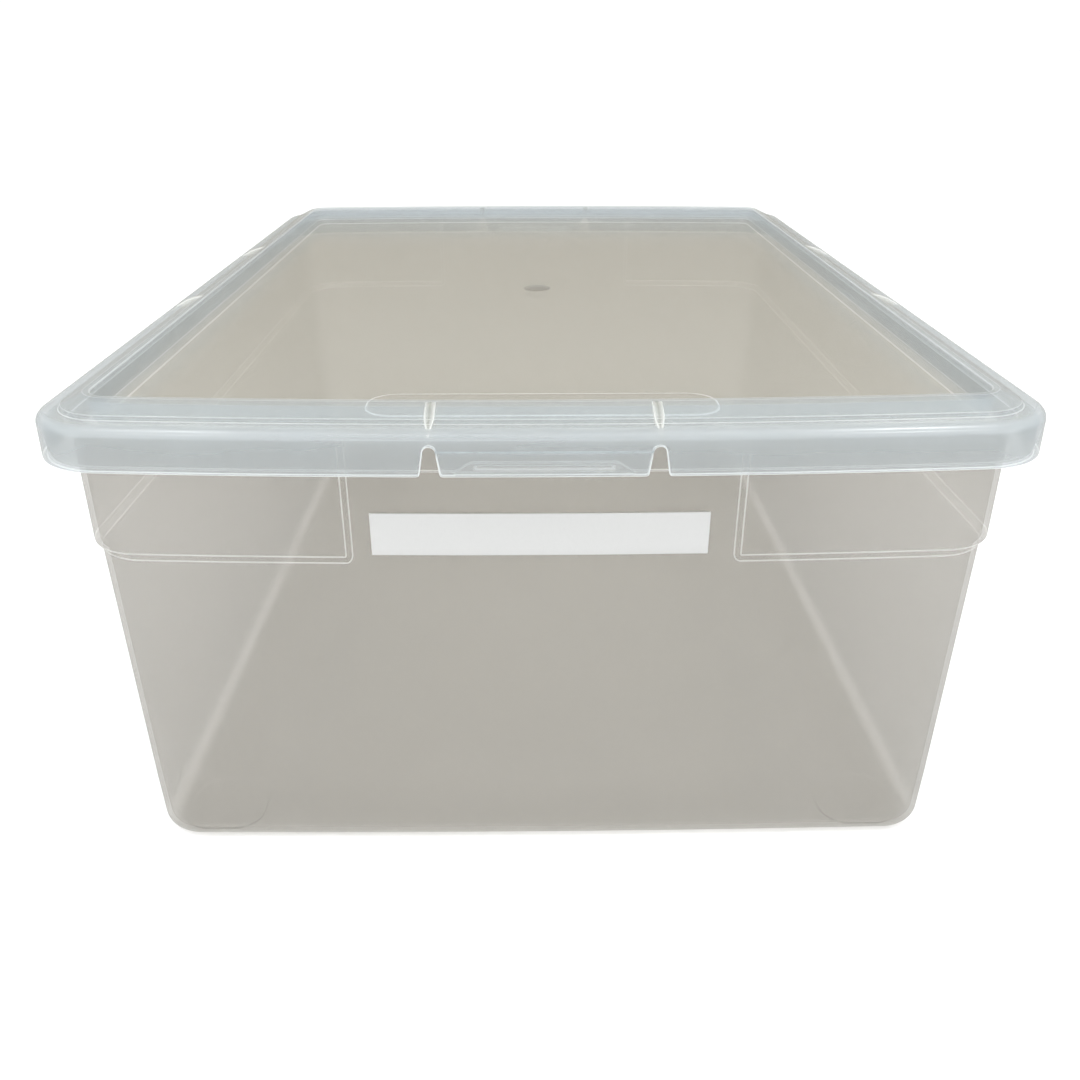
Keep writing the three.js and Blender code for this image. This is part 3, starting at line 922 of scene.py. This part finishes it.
class Nodes:
    """Short names for building the node tree of a material or of the world."""

    def __init__(self, owner):
        owner.use_nodes = True
        self.tree = owner.node_tree
        self.tree.nodes.clear()

    def add(self, kind, values=None, **settings):
        node = self.tree.nodes.new(kind)
        for key, value in settings.items():
            setattr(node, key, value)
        for key, value in (values or {}).items():
            if isinstance(value, bpy.types.NodeSocket):
                self.tree.links.new(value, node.inputs[key])
            else:
                node.inputs[key].default_value = value
        return node

    def math(self, operation, a, b=0.0, clamp=False):
        node = self.add("ShaderNodeMath", {0: a, 1: b}, operation=operation, use_clamp=clamp)
        return node.outputs[0]

    def noise(self, coords, scale, detail=2.0, roughness=0.5):
        node = self.add("ShaderNodeTexNoise", {"Vector": coords, "Scale": scale, "Detail": detail,
                                               "Roughness": roughness})
        return node.outputs["Fac"]

    def vary(self, share, low, span):
        """low, plus a share of span."""
        return self.math("ADD", self.math("MULTIPLY", share, span), low)

    def bump(self, height, strength, distance):
        node = self.add("ShaderNodeBump", {"Strength": strength, "Distance": distance,
                                           "Height": height})
        return node.outputs[0]

    def mix(self, factor, a, b):
        node = self.add("ShaderNodeMix", {"Factor": factor}, data_type="RGBA")
        for name, value in (("A", a), ("B", b)):
            socket = [s for s in node.inputs if s.name == name and s.type == "RGBA"][0]
            if isinstance(value, bpy.types.NodeSocket):
                self.tree.links.new(value, socket)
            else:
                socket.default_value = value
        return [s for s in node.outputs if s.type == "RGBA"][0]

    def mix_shader(self, factor, a, b):
        return self.add("ShaderNodeMixShader", {0: factor, 1: a, 2: b}).outputs[0]

    def seen_directly(self, path):
        """1 for a camera ray that has not come through any plastic."""
        unveiled = self.math("LESS_THAN", path.outputs["Transparent Depth"], 0.5)
        return self.math("MULTIPLY", path.outputs["Is Camera Ray"], unveiled)

    def output(self, surface, kind="ShaderNodeOutputMaterial"):
        self.add(kind, {"Surface": surface})


# The plastic's refractive index, and what one unit of milk weight adds to the veil's share.
PLASTIC_INDEX = 1.49
MILK_SHARE = 0.075

# Cloudiness and roughness vary a little from place to place: lowest value, and span above it.
BROAD_SCALE = 14.0
GRAIN_SCALE = 45.0
CLOUD = (0.88, 0.24)
ROUGHNESS = (0.18, 0.1)
GRAIN_DARKENING = 0.88
GRAIN_DARKENING_SHARE = 0.3
BUMP_STRENGTH = 0.1
BUMP_DISTANCE = 0.0012

# Schlick's form of a face's reflection: its share head on, and what a glancing look adds. Real
# plastic would add 0.96, which makes the outline too white here.
HEAD_ON_REFLECTION = 0.04
GLANCING_REFLECTION = 0.75
SCHLICK_POWER = 5.0

# Painted highlights and a painted glow on edges, and painted shade in the sunk gate mark.
EDGE_GLOW = 0.5
EDGE_GLOW_TONE = (0.96, 0.98, 1.0, 1)
EDGE_HIGHLIGHT_TONE = (0.97, 0.98, 0.98, 1.0)
SHADE_TONE = (0.2, 0.19, 0.17, 1.0)

# The rim colours are in full where the milk weight is above 1 / RIM_GAIN.
RIM_GAIN = 2.8


def light_passed(n, facing, milk, veil_share):
    """Share of light that gets through one face. The path bends on entering the wall, so it is only
    a little longer at a slant."""
    toward = n.math("SUBTRACT", 1.0, facing)
    slant = n.math("SUBTRACT", 1.0, n.math("MULTIPLY", toward, toward))
    inner_slant = n.math("DIVIDE", slant, PLASTIC_INDEX**2)
    inner_toward = n.math("SQRT", n.math("SUBTRACT", 1.0, inner_slant))
    clear_share = n.math("SUBTRACT", 1.0 - veil_share, n.math("MULTIPLY", milk, MILK_SHARE))
    return n.math("POWER", clear_share, n.math("DIVIDE", 1.0, inner_toward))


def veil_shader(n, tone, bump):
    """Half of the veil's light comes back and half goes on through."""
    glow = n.add("ShaderNodeBsdfTranslucent", {"Color": tone, "Normal": bump}).outputs[0]
    matt = n.add("ShaderNodeBsdfDiffuse", {"Color": tone, "Normal": bump}).outputs[0]
    return n.mix_shader(0.5, matt, glow)


def milky_plastic(name, clear, veil, veil_share, edge_share, rim_clear=None, rim_veil=None):
    """Clear moulded polypropylene: light passes straight on with a slight tint, under a milky veil,
    with painted highlights and a painted glow on its edges, painted shade in the gate mark, and a
    gloss that grows at a glancing look. The rim colours are for the lid's milkier ridge and skirt."""
    material = bpy.data.materials.new(name)
    n = Nodes(material)
    coords = n.add("ShaderNodeTexCoord").outputs["Object"]
    broad = n.noise(coords, BROAD_SCALE)
    grain = n.noise(coords, GRAIN_SCALE, 3.0, 0.6)
    bump = n.bump(broad, BUMP_STRENGTH, BUMP_DISTANCE)
    roughness = n.vary(grain, *ROUGHNESS)
    facing = n.add("ShaderNodeLayerWeight", {"Blend": 0.5}).outputs["Facing"]

    # The mesh's own weights: milk, and the edge weight, which paints highlights above 0 and shade
    # below it.
    milk = n.add("ShaderNodeAttribute", attribute_name="milk").outputs["Fac"]
    edge = n.add("ShaderNodeAttribute", attribute_name="painted_edge_light_and_shade").outputs["Fac"]
    edge_part = n.math("MULTIPLY", n.math("MAXIMUM", edge, 0.0), edge_share)
    shade = n.math("MAXIMUM", n.math("MULTIPLY", edge, -1.0), 0.0)
    in_rim = n.math("MULTIPLY", milk, RIM_GAIN, clamp=True)

    # How much of the veil shows, raised where highlights and shade are painted.
    passed = light_passed(n, facing, milk, veil_share)
    cloud = n.vary(broad, *CLOUD)
    opacity = n.math("MULTIPLY", n.math("SUBTRACT", 1.0, passed), cloud, clamp=True)
    opacity = n.math("MAXIMUM", n.math("MAXIMUM", opacity, edge_part), shade)

    # The veil over the clear plastic, whitened by the painted edge highlights and darkened by the
    # painted shade.
    veil_tone = n.mix(in_rim, veil, rim_veil or veil)
    darker = tuple(GRAIN_DARKENING * v for v in veil[:3]) + (1,)
    veil_tone = n.mix(n.math("MULTIPLY", grain, GRAIN_DARKENING_SHARE), veil_tone, darker)
    veil_tone = n.mix(edge_part, veil_tone, EDGE_HIGHLIGHT_TONE)
    veil_tone = n.mix(shade, veil_tone, SHADE_TONE)
    clear_tone = n.mix(in_rim, clear, rim_clear or clear)
    see_through = n.add("ShaderNodeBsdfTransparent", {"Color": clear_tone}).outputs[0]
    base = n.mix_shader(opacity, see_through, veil_shader(n, veil_tone, bump))

    # The gloss over both.
    gloss = n.add("ShaderNodeBsdfAnisotropic", {"Color": (1, 1, 1, 1), "Roughness": roughness,
                                                "Normal": bump}).outputs[0]
    fresnel = n.vary(n.math("POWER", facing, SCHLICK_POWER), HEAD_ON_REFLECTION, GLANCING_REFLECTION)
    surface = n.mix_shader(fresnel, base, gloss)

    # A painted glow on the edges: an emission that stands in for light guided along the wall and
    # coming out there.
    glow_strength = n.math("MULTIPLY", edge_part, EDGE_GLOW)
    painted_edge_glow = n.add("ShaderNodeEmission", {"Color": EDGE_GLOW_TONE,
                                         "Strength": glow_strength}).outputs[0]
    surface = n.add("ShaderNodeAddShader", {0: surface, 1: painted_edge_glow}).outputs[0]

    # Lamps shine through the walls with an even loss.
    lamp_ray = n.add("ShaderNodeLightPath").outputs["Is Shadow Ray"]
    lit_through = tuple(c * (1 - veil_share) for c in clear[:3]) + (1,)
    for_lamps = n.add("ShaderNodeBsdfTransparent", {"Color": lit_through}).outputs[0]
    n.output(n.mix_shader(lamp_ray, surface, for_lamps))
    return material


PAPER_TONE = (0.75, 0.745, 0.73, 1)
PAPER_BLOTCH_TONE = (0.71, 0.705, 0.69, 1)
PAPER_FIBRE_TONE = (0.62, 0.615, 0.60, 1)
PAPER_ROUGHNESS = 0.55


def label_paper(name):
    """Smooth coated label paper with faint fibres."""
    material = bpy.data.materials.new(name)
    n = Nodes(material)
    coords = n.add("ShaderNodeTexCoord").outputs["Object"]
    fibre = n.noise(coords, 700.0, 5.0, 0.7)
    blotch = n.noise(coords, 40.0, 2.0)
    tone = n.mix(n.math("MULTIPLY", blotch, 0.6), PAPER_TONE, PAPER_BLOTCH_TONE)
    tone = n.mix(n.math("MULTIPLY", fibre, 0.25), tone, PAPER_FIBRE_TONE)
    bump = n.bump(fibre, strength=0.2, distance=0.0002)
    surface = n.add("ShaderNodeBsdfPrincipled", {"Base Color": tone, "Roughness": PAPER_ROUGHNESS,
                                                 "Normal": bump}).outputs[0]
    n.output(surface)
    return material


# ---------------------------------------------------------------- assembly

TUB_PLASTIC = milky_plastic(
    "tub_milky_plastic", clear=(0.922, 0.913, 0.898, 1), veil=(0.78, 0.785, 0.785, 1),
    veil_share=0.125, edge_share=0.55)
LID_PLASTIC = milky_plastic(
    "lid_milky_plastic", clear=(0.93, 0.922, 0.895, 1), veil=(0.68, 0.675, 0.63, 1),
    veil_share=0.12, edge_share=0.6,
    rim_clear=(0.925, 0.938, 0.945, 1), rim_veil=(0.80, 0.87, 0.92, 1))
PAPER = label_paper("label_paper")


def place(piece, node, body, slot, material):
    piece.data.materials.append(material)
    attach(piece, body)
    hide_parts(node)


place(build_tub(), "box_body", "tub", "tub_plastic", TUB_PLASTIC)
place(build_label(), "label_strip", "tub", "label_paper", PAPER)
place(build_lid(), "lid", "lid", "lid_plastic", LID_PLASTIC)

gussets = build_gussets()
gussets.data.materials.append(LID_PLASTIC)
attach(gussets, "lid")

TABS = (("front", 0), ("right", 1), ("rear", 2), ("left", 3))
for tab_name, tab_side in TABS:
    tab = build_tab(f"{tab_name}_tab_shell", tab_side)
    tab.data.materials.append(LID_PLASTIC)
    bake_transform(tab)
    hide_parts(f"{tab_name}_latch_tab")


# ---------------------------------------------------------------- stage, light, camera

FLOOR_HALF = 40.0
FLOOR_Z = -0.0002
FLOOR_SEEN = (0.97, 0.97, 0.97, 1)
# Painted shade: the floor's tone through the plastic and in reflections.
FLOOR_SHADED_THROUGH_PLASTIC = (0.66, 0.655, 0.645, 1)
FLOOR_SHADED_IN_REFLECTIONS = (0.46, 0.45, 0.43, 1)


def build_stage():
    """A pale floor just under the feet. Where it is seen through the plastic and in reflections it is
    painted darker, as painted shade under and about the box.
    """
    mesh = bpy.data.meshes.new("stage_floor")
    half, z = FLOOR_HALF, FLOOR_Z
    mesh.from_pydata([(-half, -half, z), (half, -half, z), (half, half, z), (-half, half, z)], [],
                     [(0, 1, 2, 3)])
    floor = bpy.data.objects.new("stage_floor", mesh)
    bpy.context.scene.collection.objects.link(floor)
    material = bpy.data.materials.new("pale_floor")
    n = Nodes(material)
    path = n.add("ShaderNodeLightPath")
    through = n.mix(path.outputs["Is Glossy Ray"], FLOOR_SHADED_THROUGH_PLASTIC, FLOOR_SHADED_IN_REFLECTIONS)
    tone = n.mix(n.seen_directly(path), through, FLOOR_SEEN)
    surface = n.add("ShaderNodeBsdfDiffuse", {"Color": tone}).outputs[0]
    n.output(surface)
    mesh.materials.append(material)


def area_light(name, place_at, aim, size, power, reflected):
    """A rectangular lamp. One that shows in reflections is sampled only as a lamp, because chance
    hits by reflected rays would speckle."""
    light = bpy.data.lights.new(name, "AREA")
    light.shape = "RECTANGLE"
    light.size, light.size_y = size
    light.energy = power
    light.cycles.use_multiple_importance_sampling = not reflected
    lamp = bpy.data.objects.new(name, light)
    lamp.location = place_at
    lamp.rotation_euler = (Vector(aim) - Vector(place_at)).to_track_quat("-Z", "Y").to_euler()
    lamp.visible_glossy = reflected
    bpy.context.scene.collection.objects.link(lamp)


def sun_light(name, direction, strength, spread_degrees):
    """A wide, soft sun that doesn't show in reflections."""
    light = bpy.data.lights.new(name, "SUN")
    light.energy = strength
    light.angle = math.radians(spread_degrees)
    lamp = bpy.data.objects.new(name, light)
    lamp.rotation_euler = Vector(direction).to_track_quat("-Z", "Y").to_euler()
    lamp.visible_glossy = False
    bpy.context.scene.collection.objects.link(lamp)


WORLD_STRENGTH = 0.58
WORLD_SEEN_STRENGTH = 1.05
WORLD_SEEN_TONE = (1, 1, 1, 1)
# The daylight and the room behind, each with its place on the way from -Y to +Y.
DAYLIGHT = (0.3, (0.93, 1.0, 1.08, 1))
ROOM_BEHIND = (0.9, (0.74, 0.685, 0.57, 1))


def build_world():
    """A soft surround: cool daylight from the camera's side and a darker, warm room behind. The
    camera itself sees plain white, but not through the plastic."""
    world = bpy.data.worlds.new("soft_studio")
    bpy.context.scene.world = world
    n = Nodes(world)
    direction = n.add("ShaderNodeTexCoord").outputs["Generated"]
    apart = n.add("ShaderNodeSeparateXYZ", {"Vector": direction})
    depth = n.add("ShaderNodeMapRange", {"Value": apart.outputs["Y"], "From Min": -1.0})
    tones = n.add("ShaderNodeValToRGB", {"Fac": depth.outputs[0]})
    for element, (position, colour) in zip(tones.color_ramp.elements, (DAYLIGHT, ROOM_BEHIND)):
        element.position = position
        element.color = colour
    seen = n.seen_directly(n.add("ShaderNodeLightPath"))
    colour = n.mix(seen, tones.outputs[0], WORLD_SEEN_TONE)
    strength = n.add("ShaderNodeMapRange", {"Value": seen, "To Min": WORLD_STRENGTH,
                                            "To Max": WORLD_SEEN_STRENGTH})
    surface = n.add("ShaderNodeBackground", {"Color": colour, "Strength": strength.outputs[0]})
    n.output(surface.outputs[0], "ShaderNodeOutputWorld")


CAMERA_PLACE = (-0.0042, -0.4265, 0.2273)
CAMERA_PITCH = math.radians(25.746)
CAMERA_YAW = math.radians(0.723)
CAMERA_LENS = 34.49
CAMERA_SENSOR = 36.0
CAMERA_CLIP = 0.01


def build_camera():
    camera = bpy.data.cameras.new("camera")
    camera.sensor_width = CAMERA_SENSOR
    camera.lens = CAMERA_LENS
    camera.clip_start = CAMERA_CLIP
    view = bpy.data.objects.new("camera", camera)
    view.location = CAMERA_PLACE
    level = math.cos(CAMERA_PITCH)
    forward = (math.sin(CAMERA_YAW) * level, math.cos(CAMERA_YAW) * level, -math.sin(CAMERA_PITCH))
    view.rotation_euler = Vector(forward).to_track_quat("-Z", "Y").to_euler()
    bpy.context.scene.collection.objects.link(view)
    bpy.context.scene.camera = view


WINDOW_AIM = (0, 0, 0.1)

build_stage()
build_world()
sun_light("top_light", direction=(0.1, 0.25, -1), strength=1.9, spread_degrees=60)
area_light("front_softbox", place_at=(0, -0.8, 1.0), aim=(0, -0.1, 0.1), size=(1.0, 0.6),
           power=4.5, reflected=False)
area_light("left_window", place_at=(-0.62, -0.4, 1.4), aim=WINDOW_AIM, size=(0.1, 0.08),
           power=1.8, reflected=True)
area_light("right_window", place_at=(0.66, -0.4, 1.4), aim=WINDOW_AIM, size=(0.18, 0.1),
           power=3.4, reflected=True)
build_camera()
bpy.context.scene.view_settings.view_transform = "Standard"
bpy.context.scene.cycles.transparent_max_bounces = 40
bpy.context.scene.cycles.max_bounces = 5
bpy.context.scene.cycles.diffuse_bounces = 3
bpy.context.scene.cycles.glossy_bounces = 2
bpy.context.scene.cycles.use_light_tree = False
